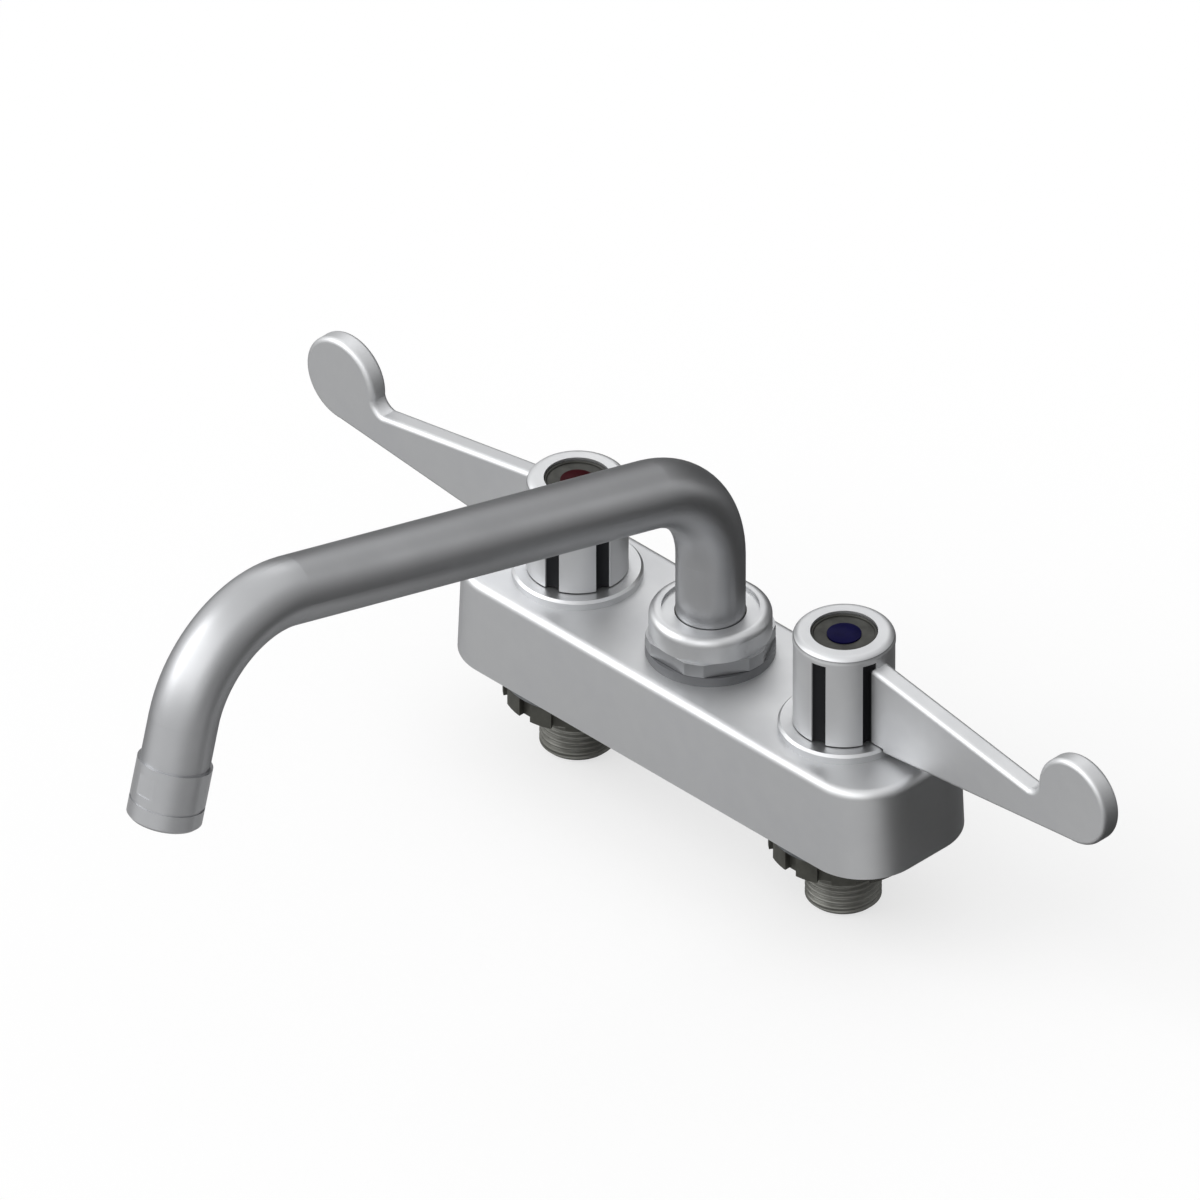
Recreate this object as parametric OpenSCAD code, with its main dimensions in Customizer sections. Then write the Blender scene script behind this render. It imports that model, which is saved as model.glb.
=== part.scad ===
// Deck-mounted centreset faucet: swing spout, two wrist-blade handles, quarter-turn cartridges.
// Millimetres and degrees. The origin is the centre of the body's underside, on the deck.
// +X points to the cold side, -Y to the user and +Z up. The handles are drawn closed.

/* [Layout] */
// Distance between the hot and the cold inlet axes
inlet_centres = 101.6; // [98:0.2:106]

/* [Body casting] */
// Length of the body beyond an inlet axis, along its underside
body_end = 31.8; // [29:0.1:39]
// Depth of the body, front to back, along its underside
body_d = 48.5; // [46:0.5:56]
// Height of the body above the deck
body_h = 27.6; // [26:0.2:32]
// Corner radius of the body at its underside
body_corner_r = 17; // [12:0.5:20]
// Draft of the body's walls
body_draft = 2.2; // [0.5:0.1:4]
// Fillet radius round the body's top edge
body_edge_r = 2.5; // [1:0.1:4]
// Metal left round the pockets in the underside
body_wall = 4; // [3:0.25:5]
// Depth of the pockets in the underside
pocket_h = 10.5; // [4:0.5:12]
// Corner radius of the pockets
pocket_corner_r = 5; // [2:0.5:6]
// Radius of the waterway from the cartridges to the spout
waterway_r = 3; // [2:0.1:3.4]

/* [Inlet shanks] */
// Outer radius of an inlet shank, half inch pipe thread
shank_r = 10.45; // [9.5:0.05:11]
// Bore radius of an inlet shank
shank_bore_r = 6.35; // [5:0.05:7.5]
// Reach of a shank below the deck face
shank_drop = 28; // [24:0.5:60]
// Length of a shank screwed into the body
shank_grip = 11; // [8:0.5:12]
// Chamfer at the free end of a shank
shank_chamfer = 1; // [0.4:0.1:1.5]

/* [Deck hardware] */
// Outer radius of the rubber washer
rubber_washer_r = 20.4; // [17:0.1:22]
// Thickness of the rubber washer
rubber_washer_h = 2.8; // [2:0.1:4]
// Outer radius of the steel washer
steel_washer_r = 20.8; // [17:0.1:22]
// Thickness of the steel washer
steel_washer_h = 1.6; // [1:0.1:2.5]
// Outer radius of the locknut
locknut_r = 20.4; // [16:0.1:22]
// Thickness of the locknut
locknut_h = 6.4; // [5:0.1:9]
// Number of spanner notches round the locknut
locknut_notches = 12; // [4:1:16]
// Width of a spanner notch
locknut_notch_w = 4; // [2:0.1:5]
// Depth of a spanner notch
locknut_notch_depth = 1.8; // [1:0.1:3]

/* [Cartridges] */
// Radius of the cartridge's threaded barrel
barrel_r = 9.5; // [9:0.05:10]
// Inner radius of the barrel, round the discs
barrel_bore_r = 8.2; // [7.5:0.05:8.4]
// Radius of the cartridge's clamping flange
cartridge_flange_r = 11; // [10.6:0.05:11.1]
// Thickness of the clamping flange
cartridge_flange_h = 2.6; // [2:0.1:3.5]
// Radius of the cartridge's neck
neck_r = 7.4; // [6.5:0.05:7.6]
// Height of the neck above the flange
neck_h = 5; // [3:0.1:6]
// Height of the shoulder inside the barrel above the cartridge's seat
barrel_shoulder_h = 12; // [11:0.1:13]
// Thickness of the seat seal
seat_seal_h = 2.5; // [2:0.1:3]
// Inner radius of the seat seal
seat_seal_bore_r = 5; // [3.5:0.1:6]
// Thickness of a ceramic disc
disc_h = 2; // [1.5:0.1:2.5]
// Inner radius of the ports in the ceramic discs
port_inner_r = 2; // [1.5:0.1:3]
// Outer radius of the ports in the ceramic discs
port_outer_r = 6; // [4:0.1:7]
// Metal left between a shank's end and the cartridge's seat
seat_web = 2.5; // [2:0.1:4]

/* [Cartridge stems] */
// Radius of the stem in the cartridge's neck
stem_r = 5; // [4:0.05:5.5]
// Thickness of the stem's foot above the moving disc
stem_foot_h = 1.8; // [1.2:0.1:2.5]
// Outer radius of the splines under the handle
spline_r = 4.4; // [3.8:0.05:4.8]
// Depth of a spline
spline_depth = 0.5; // [0.3:0.05:0.8]
// Number of splines
splines = 20; // [12:1:24]
// Length of the splines
spline_h = 8.2; // [6:0.1:9]
// Section radius of the stem's sealing ring
stem_ring_section_r = 0.8; // [0.6:0.05:1]

/* [Bonnet rings] */
// Outer radius of the ring under a handle
bonnet_r = 17.9; // [16:0.1:19]
// Thickness of the ring under a handle
bonnet_h = 2.7; // [2:0.1:4]
// Chamfer round the ring's top edge
bonnet_chamfer = 0.7; // [0.3:0.1:1.2]

/* [Handle hubs] */
// Radius of a handle's hub
hub_r = 14; // [13.2:0.1:15]
// Height of a handle's top above the body
handle_rise = 31.7; // [30.4:0.1:38.4]
// Height of the plain cap above the flutes
cap_h = 2.9; // [2.6:0.1:4]
// Fillet radius round the cap
cap_edge_r = 2.2; // [1:0.1:2.4]
// Number of flutes round the hub
flutes = 6; // [3:1:8]
// Radius of a flute's round bottom
flute_r = 2.6; // [1.2:0.1:2.8]
// Depth of a flute
flute_depth = 1.4; // [0.8:0.1:1.5]
// Angle of the first flute from the blade
flute_start = 45; // [0:1:59]
// Radius of the recess in the cap
index_recess_r = 9.2; // [8:0.1:10]
// Depth of the recess in the cap
index_recess_h = 3; // [2:0.1:3.5]

/* [Handle blades] */
// Distance from a handle's axis to the tip of its blade
blade_reach = 101.6; // [80:0.2:150]
// Thickness of the blade
blade_t = 6; // [5:0.1:8]
// Radius of the blade's rounded edges
blade_edge_r = 1.5; // [0.5:0.1:2]
// Radius of the round paddle at the tip
paddle_r = 12.8; // [9:0.1:16]
// Height of the paddle's centre above the body
paddle_rise = 20.8; // [18.4:0.1:26.4]
// Height of the blade's top edge above the body, at the hub
blade_top_rise = 26.7; // [22.4:0.1:28.4]
// Fall of the blade's top edge towards the tip
blade_fall = 9.6; // [4:0.1:12]
// Height of the blade's lower edge above the body, at the hub
blade_low_rise = 0.7; // [0.6:0.1:4.4]
// Radius of the hollow between the blade and the paddle
blade_hollow_r = 4; // [2:0.1:8]

/* [Handle screws and index buttons] */
// Radius of the handle screw's shank
screw_r = 2; // [1.5:0.05:2.5]
// Length of the handle screw's shank
screw_l = 9; // [7:0.1:9.5]
// Radius of the handle screw's head
screw_head_r = 3.9; // [3:0.05:4]
// Height of the handle screw's head
screw_head_h = 2.8; // [2:0.1:3.4]
// Width across the flats of the screw's socket
screw_socket_w = 2.5; // [2:0.1:3]
// Depth of the screw's socket
screw_socket_h = 1.5; // [1:0.1:1.8]
// Radius of the coloured index button
button_r = 4.7; // [4.4:0.05:5.5]
// Height of the index button at its middle
button_h = 2.7; // [2:0.1:3.5]
// Rise of the index button's crown
button_crown_h = 0.5; // [0.2:0.05:0.9]
// Height of the trim ring round the button
trim_ring_h = 2.3; // [1.5:0.1:3]

/* [Spout socket and swivel nut] */
// Radius of the spout socket's flange on the body
socket_flange_r = 17.75; // [16:0.05:19]
// Thickness of the spout socket's flange
socket_flange_h = 2.9; // [2:0.1:4]
// Radius of the spout socket's thread
socket_r = 13; // [12.6:0.05:13.5]
// Length of the spout socket's thread inside the body
socket_grip = 14.5; // [13:0.5:16]
// Length of the spout socket's thread under the swivel nut
socket_rise = 4.6; // [4:0.1:6]
// Distance between opposite flats of the swivel nut
nut_flats_w = 33.1; // [31:0.1:34]
// Height of the swivel nut's flats
nut_flats_h = 4; // [3:0.1:6]
// Radius of the swivel nut's round collar
nut_collar_r = 16.8; // [16:0.1:17.5]
// Fillet radius round the swivel nut's top
nut_edge_r = 2.4; // [1:0.1:3]
// Thickness of the swivel nut's lip over the spout's collar
nut_lip_h = 2.4; // [1.9:0.1:3]
// Radius of the shallow well round the tube, in the swivel nut's top
nut_well_r = 13.4; // [11:0.1:13.6]
// Depth of the well
nut_well_h = 1.1; // [0.5:0.1:1.2]
// Turn of the swivel nut from square with the body
nut_turn = 0; // [0:1:59]
// Thickness of the lower swivel washer
lower_washer_h = 1; // [0.6:0.1:1.5]
// Thickness of the upper swivel washer
upper_washer_h = 0.8; // [0.6:0.1:1.2]

/* [Spout] */
// Outer radius of the spout tube, three quarter inch tube
tube_r = 9.525; // [9:0.025:10]
// Wall of the spout tube
tube_wall = 1.25; // [0.8:0.05:1.6]
// Height above the body at which the first bend begins
riser_rise = 31.5; // [22.4:0.1:62.4]
// Bend radius at the top of the riser
first_bend_r = 32.75; // [24:0.25:45]
// Rise of the spout's straight run
spout_rise = 15; // [5:0.5:25]
// Length of the spout's straight run
run_l = 141; // [110:0.5:260]
// Bend radius above the outlet
second_bend_r = 32; // [24:0.25:45]
// Angle of the bend above the outlet
second_bend = 90; // [75:1:105]
// Length of straight tube below the second bend
outlet_tube_l = 12.4; // [10:0.1:30]
// Radius of the collar that the swivel nut holds
spout_collar_r = 12.3; // [11.8:0.05:12.6]
// Thickness of the collar that the swivel nut holds
spout_collar_h = 2; // [1.4:0.1:2.4]
// Length of the spigot below the collar
spigot_l = 10.8; // [9:0.1:12]
// Length of the brazed ends inside the tube
braze_l = 6; // [4:0.5:9]
// Bore radius of the fittings at both ends of the tube
fitting_bore_r = 6.3; // [5:0.1:7]
// Section radius of the spout's sealing rings
spout_ring_section_r = 0.8; // [0.6:0.05:1.1]
// Distance between the two sealing rings
spout_ring_pitch = 4; // [3:0.1:5]

/* [Aerator] */
// Outer radius of the aerator
aerator_r = 10.35; // [10.25:0.05:11.5]
// Length of the aerator's upper part
aerator_barrel_l = 11.4; // [11:0.1:16]
// Length of the aerator's lower ring
aerator_ring_l = 5.7; // [4:0.1:8]
// Depth of the groove between the aerator's two parts
aerator_groove = 0.35; // [0.2:0.05:0.6]
// Chamfer round the aerator's outlet
aerator_chamfer = 0.8; // [0.3:0.1:1.2]
// Distance between the aerator's wrench flats
aerator_flats_w = 19.9; // [19.6:0.1:20.4]
// Length of the aerator's wrench flats
aerator_flats_l = 6; // [4:0.1:9]
// Radius of the thread that carries the aerator
nozzle_thread_r = 9.2; // [8.8:0.05:9.3]
// Length of the thread that carries the aerator
nozzle_thread_l = 5.4; // [4:0.1:6]
// Radius of the opening at the aerator's outlet
aerator_mouth_r = 8; // [6.5:0.1:8.4]
// Thickness of the aerator's sealing washer
aerator_washer_h = 1.6; // [1:0.1:2.5]
// Thickness of the aerator's flow insert
insert_h = 4; // [3:0.1:5]
// Radius of a hole in the flow insert
insert_hole_r = 1; // [0.6:0.1:1.2]
// Thickness of the aerator's screen
screen_h = 0.8; // [0.5:0.1:1.2]
// Width of a bar of the screen
screen_bar_w = 0.6; // [0.4:0.1:0.8]
// Distance between the bars of the screen
screen_pitch = 2.4; // [1.8:0.1:3.5]

/* [Clearances] */
// Radial gap of a thread or a plug in its hole
thread_gap = 0.05; // [0.02:0.01:0.1]
// Radial gap of a bearing that turns
running_gap = 0.06; // [0.03:0.01:0.1]
// Gap between pieces that pass each other
free_gap = 0.3; // [0.2:0.05:0.5]
// Gap between the two ceramic discs
disc_gap = 0.05; // [0.02:0.01:0.1]
// Radial gap between loose washers and what they are threaded on
washer_gap = 0.25; // [0.1:0.05:0.5]

/* [Hidden] */

$fn = 96;
overrun = 1;            // how far a cutter runs past the face that it cuts
hex_sides = 6;
small_fn = 32;

chrome = "#B4B6B8";
raw_brass = "#5C5A4C";
brass = "#8A7B4C";
steel = "#8C8F92";
black_rubber = "#26262A";
white_ceramic = "#E8E6E0";
nylon = "#D8D6CC";
hot_red = "#7A1218";
cold_blue = "#1A1F6E";
acetal = "#3A3C40";

// Body: its length, the corner centres, and the fillet that joins the drafted wall and the flat top
body_l = inlet_centres + 2 * body_end;
corner_x = body_l / 2 - body_corner_r;
corner_y = body_d / 2 - body_corner_r;
fillet_z = body_h - body_edge_r;
fillet_x = body_corner_r - (body_edge_r + fillet_z * sin(body_draft)) / cos(body_draft);
wall_top_x = fillet_x + body_edge_r * cos(body_draft);
wall_top_z = fillet_z + body_edge_r * sin(body_draft);

// Heights of the pieces that stack up in each valve, from the deck
seat_z = shank_grip + seat_web;
fixed_disc_z = seat_z + seat_seal_h;
moving_disc_z = fixed_disc_z + disc_h + disc_gap;
stem_foot_z = moving_disc_z + disc_h;
barrel_shoulder_z = seat_z + barrel_shoulder_h;
waterway_z = (stem_foot_z + barrel_shoulder_z) / 2;
bonnet_top_z = body_h + bonnet_h;
flange_top_z = bonnet_top_z + cartridge_flange_h;
neck_top_z = flange_top_z + neck_h;
disc_r = barrel_bore_r - thread_gap * 2;
moving_disc_r = barrel_bore_r - free_gap;
port_angle = 80;

// Handle: its heights above the deck, then the hollows inside the hub, from the bonnet ring up
handle_top_z = body_h + handle_rise;
paddle_z = body_h + paddle_rise;
blade_top_z = body_h + blade_top_rise;
blade_low_z = body_h + blade_low_rise;
hub_low_z = bonnet_top_z + free_gap;
flange_hollow_r = cartridge_flange_r + free_gap;
flange_hollow_z = flange_top_z + free_gap;
neck_hollow_r = neck_r + free_gap;
neck_hollow_z = neck_top_z + free_gap;
spline_bore_r = spline_r + thread_gap;
stem_top_z = neck_hollow_z + spline_h;
web_low_z = stem_top_z + free_gap;
web_h = 3.6;
web_top_z = web_low_z + web_h;
recess_z = handle_top_z - index_recess_h;
screw_pocket_r = screw_head_r + free_gap;
screw_low_z = web_top_z - screw_l;
screw_hole_low_z = screw_low_z - overrun;
stem_ring_z = barrel_shoulder_z + (neck_top_z - barrel_shoulder_z) / 2;
stem_groove_r = stem_r - 2 * stem_ring_section_r;
cap_low_z = handle_top_z - cap_h;
trim_ridge_r = 0.45;   // radius of the rounded ridge on the trim ring

// Blade outline, in a plane with x out from the handle's axis and y up from the deck. Its stretches
// cross by a hair where they meet, and each runs on a little way inside the next.
edge_cross = 0.1;
edge_crease = 0.02;     // cut that the flat sides take off the top of the edge's rounding
edge_trim = 0.1;        // thickness that is trimmed off each side
paddle_x = blade_reach - paddle_r;
paddle_c = [paddle_x, paddle_z];
paddle_inner_r = paddle_r - edge_cross;
root_x = (flange_hollow_r + hub_r - flute_depth) / 2;
top_dir = [cos(blade_fall), -sin(blade_fall)];
top_up = [sin(blade_fall), cos(blade_fall)];
top_hub = [hub_r, blade_top_z];
top_root = top_hub - top_dir * (hub_r - root_x);
low_hub = [hub_r, blade_low_z];
low_span = paddle_c - low_hub;
low_turn = atan2(low_span.y, low_span.x) - asin(paddle_inner_r / norm(low_span));
low_dir = [cos(low_turn), sin(low_turn)];
low_up = [-sin(low_turn), cos(low_turn)];
low_root = low_hub - low_dir * (hub_r - root_x);
low_end = paddle_c - low_up * paddle_inner_r;
hollow_low = blade_hollow_r - edge_cross;
hollow_side = hollow_low - (paddle_c - top_hub) * top_up;
hollow_run = sqrt(pow(paddle_r + hollow_low, 2) - pow(hollow_side, 2));
hollow_c = paddle_c + top_up * hollow_side - top_dir * hollow_run;
top_lap = 2 * sqrt(pow(blade_hollow_r, 2) - pow(hollow_low, 2));
top_end = hollow_c - top_up * hollow_low + top_dir * top_lap;
to_paddle = paddle_c - hollow_c;
hollow_from = atan2(-top_up.y, -top_up.x);
hollow_to = atan2(to_paddle.y, to_paddle.x);
paddle_lap = 2 * acos(paddle_inner_r / paddle_r);
paddle_from = low_turn - 90 - paddle_lap;
paddle_to = hollow_to + 180 + paddle_lap;
blade_band_share = 2.4;  // width of the rounded edge, as a share of its radius
core_inset_share = 1.8;  // start of the flat core, as a share of the same radius
blade_band = blade_band_share * blade_edge_r;
core_inset = core_inset_share * blade_edge_r;
hollow_steps = 8;

// Swivel: heights of the pieces that stack up on the body's middle
socket_flange_z = body_h + socket_flange_h;
socket_low_z = body_h - socket_grip;
socket_top_z = socket_flange_z + socket_rise;
socket_bore_r = tube_r + running_gap;
collar_z = socket_top_z + lower_washer_h + free_gap;
collar_top_z = collar_z + spout_collar_h;
upper_washer_z = collar_top_z + free_gap;
nut_lip_z = upper_washer_z + upper_washer_h;
nut_z = socket_flange_z + thread_gap * 2;
nut_top_z = nut_lip_z + nut_lip_h;
collar_ring_z = nut_z + nut_flats_h;
nut_bore_r = socket_r + thread_gap;
tube_hole_r = tube_r + free_gap;
spigot_z = collar_z - spigot_l;
tube_bore_r = tube_r - tube_wall;
braze_r = tube_bore_r - thread_gap;
spout_groove_r = tube_r - 2 * spout_ring_section_r;
spout_ring_mid_z = (spigot_z + collar_z) / 2;
spout_ring_zs = [spout_ring_mid_z - spout_ring_pitch / 2, spout_ring_mid_z + spout_ring_pitch / 2];

// Spout path, in the plane of the spout with x towards the back and y up
riser_top_z = body_h + riser_rise;
first_bend = 90 - spout_rise;
first_c = [-first_bend_r, riser_top_z];
run_start = first_c + first_bend_r * [cos(first_bend), sin(first_bend)];
run_dir = [-cos(spout_rise), sin(spout_rise)];
run_end = run_start + run_dir * run_l;
second_c = run_end - second_bend_r * [cos(first_bend), sin(first_bend)];
outlet_turn = first_bend + second_bend;
outlet_start = second_c + second_bend_r * [cos(outlet_turn), sin(outlet_turn)];
outlet_dir = [-sin(outlet_turn), cos(outlet_turn)];
tube_end = outlet_start + outlet_dir * outlet_tube_l;
bend_thinning = 0.02;   // loss of wall on each face of the tube where it is bent
bend_lap = 0.5;         // length of straight tube before that loss begins

// Aerator: distances down from the end of the tube
aerator_l = aerator_barrel_l + aerator_ring_l;
aerator_washer_at = nozzle_thread_l;
insert_at = aerator_washer_at + aerator_washer_h;
screen_at = insert_at + insert_h;
mouth_at = screen_at + screen_h;
aerator_bore_r = nozzle_thread_r + thread_gap;
insert_r = aerator_bore_r - thread_gap;
groove_w = 0.8;
nipple_bore_r = fitting_bore_r;
insert_rows = 2;        // rings of holes round the middle hole
insert_row_pitch = 3;

// Shared forms

module ring(outer_r, inner_r, h) {
    difference() {
        cylinder(h = h, r = outer_r);
        translate([0, 0, -overrun]) cylinder(h = h + 2 * overrun, r = inner_r);
    }
}

module round_bar(r, low_z, high_z) {
    translate([0, 0, low_z]) cylinder(h = high_z - low_z, r = r);
}

// A round bar with a fillet round its top
module filleted_bar(r, low_z, top_z, edge_r) {
    round_bar(r, low_z, top_z - edge_r);
    round_bar(r - edge_r, low_z, top_z);
    translate([0, 0, top_z - edge_r]) rotate_extrude() translate([r - edge_r, 0]) circle(r = edge_r);
}

module hexagon_bar(flats_w, h) {
    cylinder(h = h, r = flats_w / 2 / cos(180 / hex_sides), $fn = hex_sides);
}

module sealing_ring(outer_r, section_r) {
    rotate_extrude() translate([outer_r - section_r, 0]) circle(r = section_r, $fn = small_fn);
}

module rounded_plate(l, w, r) {
    square([l - 2 * r, w], center = true);
    square([l, w - 2 * r], center = true);
    for (x = [-1, 1], y = [-1, 1]) translate([x * (l / 2 - r), y * (w / 2 - r)]) circle(r = r);
}

module at_hot() {
    translate([-inlet_centres / 2, 0, 0]) rotate([0, 0, 180]) children();
}

module at_cold() {
    translate([inlet_centres / 2, 0, 0]) children();
}

module at_tube_end() {
    translate([0, tube_end.x, tube_end.y]) rotate([outlet_turn, 0, 0]) children();
}

// Body casting

module body_edge_profile() {
    polygon([[0, 0], [body_corner_r, 0], [wall_top_x, wall_top_z], [fillet_x, body_h], [0, body_h]]);
    translate([fillet_x, fillet_z]) circle(r = body_edge_r);
}

module body_blank() {
    rotate([90, 0, 90]) linear_extrude(2 * corner_x, center = true) {
        translate([-corner_y, 0]) square([2 * corner_y, body_h]);
        for (m = [0, 1]) mirror([m, 0]) translate([corner_y, 0]) body_edge_profile();
    }
    for (m = [0, 1]) mirror([m, 0, 0]) rotate([90, 0, 0])
        linear_extrude(2 * corner_y, center = true) translate([corner_x, 0]) body_edge_profile();
    for (mx = [0, 1], my = [0, 1]) mirror([mx, 0, 0]) mirror([0, my, 0])
        translate([corner_x, corner_y, 0]) rotate_extrude(angle = 90) body_edge_profile();
}

module body_pocket() {
    inner_x = socket_r + body_wall / 2;
    outer_x = inlet_centres / 2 - shank_r - body_wall;
    pocket_d = body_d - 2 * body_wall;
    translate([(inner_x + outer_x) / 2, 0, -overrun])
        linear_extrude(pocket_h + overrun) rounded_plate(outer_x - inner_x, pocket_d, pocket_corner_r);
}

module valve_bore() {
    round_bar(shank_r + thread_gap, -overrun, shank_grip);
    round_bar(seat_seal_bore_r, 0, seat_z + overrun);
    round_bar(barrel_r + thread_gap, seat_z, body_h + overrun);
}

module body() color(chrome) difference() {
    body_blank();
    at_hot() valve_bore();
    at_cold() valve_bore();
    round_bar(socket_r + thread_gap, socket_low_z, body_h + overrun);
    translate([0, 0, waterway_z]) rotate([0, 90, 0])
        cylinder(h = inlet_centres, r = waterway_r, center = true);
    for (m = [0, 1]) mirror([m, 0, 0]) body_pocket();
}

// Inlet shanks and deck hardware

module shank() color(raw_brass) difference() {
    translate([0, 0, -shank_drop]) {
        cylinder(h = shank_chamfer, r1 = shank_r - shank_chamfer, r2 = shank_r);
        translate([0, 0, shank_chamfer]) cylinder(h = shank_drop + shank_grip - shank_chamfer, r = shank_r);
    }
    round_bar(shank_bore_r, -shank_drop - overrun, shank_grip + overrun);
}

module rubber_washer() color(black_rubber)
    translate([0, 0, -rubber_washer_h]) ring(rubber_washer_r, shank_r + washer_gap, rubber_washer_h);

module steel_washer() color(steel)
    translate([0, 0, -rubber_washer_h - steel_washer_h])
        ring(steel_washer_r, shank_r + washer_gap, steel_washer_h);

module locknut() color(raw_brass) translate([0, 0, -rubber_washer_h - steel_washer_h - locknut_h])
    difference() {
        ring(locknut_r, shank_r + thread_gap, locknut_h);
        for (i = [0 : locknut_notches - 1]) rotate([0, 0, i * 360 / locknut_notches])
            translate([locknut_r - locknut_notch_depth, -locknut_notch_w / 2, -overrun])
                cube([locknut_notch_depth + overrun, locknut_notch_w, locknut_h + 2 * overrun]);
    }

module hot_shank() at_hot() shank();
module cold_shank() at_cold() shank();
module hot_rubber_washer() at_hot() rubber_washer();
module cold_rubber_washer() at_cold() rubber_washer();
module hot_steel_washer() at_hot() steel_washer();
module cold_steel_washer() at_cold() steel_washer();
module hot_locknut() at_hot() locknut();
module cold_locknut() at_cold() locknut();

// Cartridges

module cartridge_shell() color(brass) difference() {
    union() {
        round_bar(barrel_r, seat_z + seat_seal_h / 2, bonnet_top_z);
        round_bar(cartridge_flange_r, bonnet_top_z, flange_top_z);
        round_bar(neck_r, flange_top_z, neck_top_z);
    }
    round_bar(barrel_bore_r, seat_z, barrel_shoulder_z);
    round_bar(stem_r + running_gap, barrel_shoulder_z - overrun, neck_top_z + overrun);
    translate([0, 0, waterway_z]) rotate([0, 90, 0])
        cylinder(h = 2 * barrel_r + 2 * overrun, r = waterway_r, center = true);
}

module seat_seal() color(black_rubber)
    translate([0, 0, seat_z]) ring(disc_r, seat_seal_bore_r, seat_seal_h);

// A port is a sector between two radii
module disc_port(h) {
    rotate([0, 0, -port_angle / 2]) rotate_extrude(angle = port_angle)
        translate([port_inner_r, 0]) square([port_outer_r - port_inner_r, h]);
}

module ceramic_disc(r, port_turn) color(white_ceramic) difference() {
    cylinder(h = disc_h, r = r);
    for (turn = [0, 180]) rotate([0, 0, port_turn + turn])
        translate([0, 0, -overrun]) disc_port(disc_h + 2 * overrun);
}

module fixed_disc() translate([0, 0, fixed_disc_z]) ceramic_disc(disc_r, 0);

module bonnet_ring() color(chrome) translate([0, 0, body_h]) difference() {
    union() {
        cylinder(h = bonnet_h - bonnet_chamfer, r = bonnet_r);
        translate([0, 0, bonnet_h - bonnet_chamfer])
            cylinder(h = bonnet_chamfer, r1 = bonnet_r, r2 = bonnet_r - bonnet_chamfer);
    }
    translate([0, 0, -overrun]) cylinder(h = bonnet_h + 2 * overrun, r = barrel_r + thread_gap);
}

module hot_cartridge_shell() at_hot() cartridge_shell();
module cold_cartridge_shell() at_cold() cartridge_shell();
module hot_seat_seal() at_hot() seat_seal();
module cold_seat_seal() at_cold() seat_seal();
module hot_fixed_disc() at_hot() fixed_disc();
module cold_fixed_disc() at_cold() fixed_disc();
module hot_bonnet_ring() at_hot() bonnet_ring();
module cold_bonnet_ring() at_cold() bonnet_ring();

// Spout socket and swivel nut

module spout_socket() color(chrome) difference() {
    union() {
        round_bar(socket_r, socket_low_z, socket_top_z);
        round_bar(socket_flange_r, body_h, socket_flange_z);
    }
    round_bar(socket_bore_r, socket_low_z + seat_web, socket_top_z + overrun);
    translate([0, 0, waterway_z]) rotate([0, 90, 0])
        cylinder(h = 2 * socket_r + 2 * overrun, r = waterway_r, center = true);
}

module swivel_nut() color(chrome) difference() {
    union() {
        translate([0, 0, nut_z]) intersection() {
            rotate([0, 0, nut_turn]) hexagon_bar(nut_flats_w, nut_flats_h);
            cylinder(h = nut_flats_h, r = socket_flange_r);
        }
        filleted_bar(nut_collar_r, collar_ring_z, nut_top_z, nut_edge_r);
    }
    round_bar(nut_bore_r, nut_z - overrun, nut_lip_z);
    round_bar(tube_hole_r, nut_lip_z - overrun, nut_top_z + overrun);
    round_bar(nut_well_r, nut_top_z - nut_well_h, nut_top_z + overrun);
}

module lower_swivel_washer() color(nylon)
    translate([0, 0, socket_top_z]) ring(socket_r - thread_gap, tube_hole_r, lower_washer_h);

module upper_swivel_washer() color(nylon)
    translate([0, 0, upper_washer_z]) ring(socket_r - thread_gap, tube_hole_r, upper_washer_h);

// Handle: hub, blade and the hollows for the cartridge, the stem and the screw

module hub_flutes() {
    for (i = [0 : flutes - 1]) rotate([0, 0, flute_start + i * 360 / flutes])
        translate([hub_r - flute_depth + flute_r, 0, 0])
            round_bar(flute_r, hub_low_z - overrun, cap_low_z);
}

// Section across the blade's rounded edge, from the outline inwards, before its sides are trimmed
module edge_section() {
    round_y = blade_t / 2 + edge_crease - blade_edge_r;
    side_y = blade_t / 2 + edge_trim;
    translate([blade_edge_r, -side_y]) square([blade_band - blade_edge_r, 2 * side_y]);
    translate([0, -round_y]) square([blade_band, 2 * round_y]);
    for (y = [-1, 1]) translate([blade_edge_r, y * round_y]) circle(r = blade_edge_r);
}

module blade_line_edge(from, to, inward) {
    along = to - from;
    turn = atan2(along.y, along.x);
    translate(from) rotate([0, 0, turn]) rotate([0, 90, 0]) rotate([0, 0, inward > 0 ? 90 : -90])
        linear_extrude(norm(along)) edge_section();
}

module blade_core() {
    hollow_points = [for (i = [0 : hollow_steps])
        let (a = hollow_from + (hollow_to - hollow_from) * i / hollow_steps)
            hollow_c + (blade_hollow_r + core_inset) * [cos(a), sin(a)]];
    linear_extrude(blade_t + 2 * edge_trim, center = true) {
        polygon(concat([top_root - top_up * core_inset], hollow_points,
                       [paddle_c, low_end + low_up * core_inset, low_root + low_up * core_inset]));
        translate(paddle_c) circle(r = paddle_r - core_inset);
    }
}

module blade() rotate([90, 0, 0]) intersection() {
    translate([0, 0, -blade_t / 2]) cube([blade_reach + overrun, paddle_z + paddle_r + overrun, blade_t]);
    union() {
        blade_core();
        blade_line_edge(top_root, top_end, -1);
        blade_line_edge(low_root, low_end, 1);
        translate(paddle_c) rotate([0, 0, paddle_from]) rotate_extrude(angle = paddle_to - paddle_from)
            translate([paddle_r, 0]) mirror([1, 0]) edge_section();
        translate(hollow_c) rotate([0, 0, hollow_from]) rotate_extrude(angle = hollow_to - hollow_from)
            translate([blade_hollow_r, 0]) edge_section();
    }
}

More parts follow.
